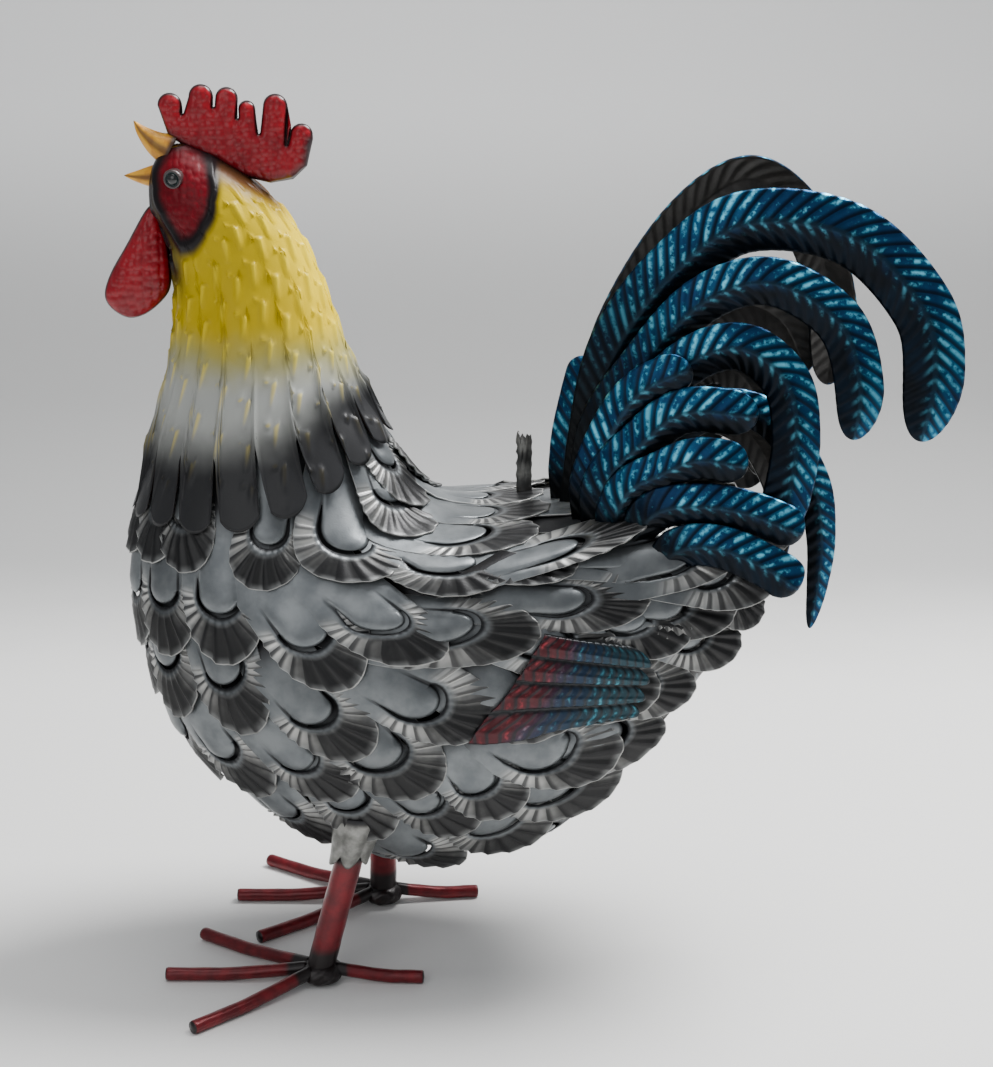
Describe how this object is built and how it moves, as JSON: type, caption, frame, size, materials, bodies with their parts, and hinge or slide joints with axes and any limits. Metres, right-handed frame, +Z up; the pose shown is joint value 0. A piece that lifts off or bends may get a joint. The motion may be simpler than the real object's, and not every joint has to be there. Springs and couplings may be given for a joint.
{
  "type": "scrap metal rooster sculpture",
  "caption": "Standing rooster of overlapping pressed sheet-metal feathers, with comb, open beak, arched sickle tail and rod feet",
  "frame": {"origin": "middle of the bird's overall footprint, on the ground it stands on", "axes": "-X is where the beak points and +X the tail, +Y is the bird's right side, +Z is up"},
  "size_m": [0.4966, 0.2332, 0.541],
  "materials": {
    "neck": "satin paint, yellow at the head, fading through pale grey to black at the hem",
    "comb": "glossy crimson paint on hammered sheet, black in the hollows",
    "beak": "satin orange-yellow paint with dark edges",
    "eye": "glossy black boss in a grey ring",
    "feather": "satin grey paint with black airbrushed tips and bare bright pleats",
    "wing": "satin blue, teal and red paint over black",
    "tail": "satin metallic blue brushed over black chevron ribs, grey-brown on the inner side",
    "leg": "satin dark red paint, darker at the welds",
    "toe": "satin dark red paint, black at the welds and cut ends"
  },
  "bodies": {
    "root": {"neck_shell": "neck", "comb": "comb", "wattle": "comb", "upper_beak": "beak", "lower_beak": "beak", "eye_left": "eye", "eye_right": "eye", "feather_row_1_shoulder": "feather", "feather_row_2_upper_breast": "feather", "feather_row_3_breast": "feather", "feather_row_4_flank": "feather", "feather_row_5_belly": "feather", "feather_row_6_rear_hem": "feather", "wing_panel_left": "wing", "wing_panel_right": "wing", "back_tab": "feather", "tail_sickle_left_1": "tail", "tail_sickle_left_2": "tail", "tail_sickle_left_3": "tail", "tail_drooping_left": "tail", "tail_covert_left_1": "tail", "tail_covert_left_2": "tail", "tail_covert_left_3": "tail", "tail_covert_left_4": "tail", "tail_covert_left_5": "tail", "tail_covert_left_6": "tail", "tail_sickle_right_1": "tail", "tail_sickle_right_2": "tail", "tail_sickle_right_3": "tail", "tail_drooping_right": "tail", "tail_covert_right_1": "tail", "tail_covert_right_2": "tail", "tail_covert_right_3": "tail", "tail_covert_right_4": "tail", "leg_left": "leg", "leg_cuff_left": "feather", "foot_weld_left": "toe", "outer_toe_left": "toe", "middle_toe_left": "toe", "inner_toe_left": "toe", "rear_toe_left": "toe", "leg_right": "leg", "leg_cuff_right": "feather", "foot_weld_right": "toe", "outer_toe_right": "toe", "middle_toe_right": "toe", "inner_toe_right": "toe", "rear_toe_right": "toe"}
  },
  "joints": []
}
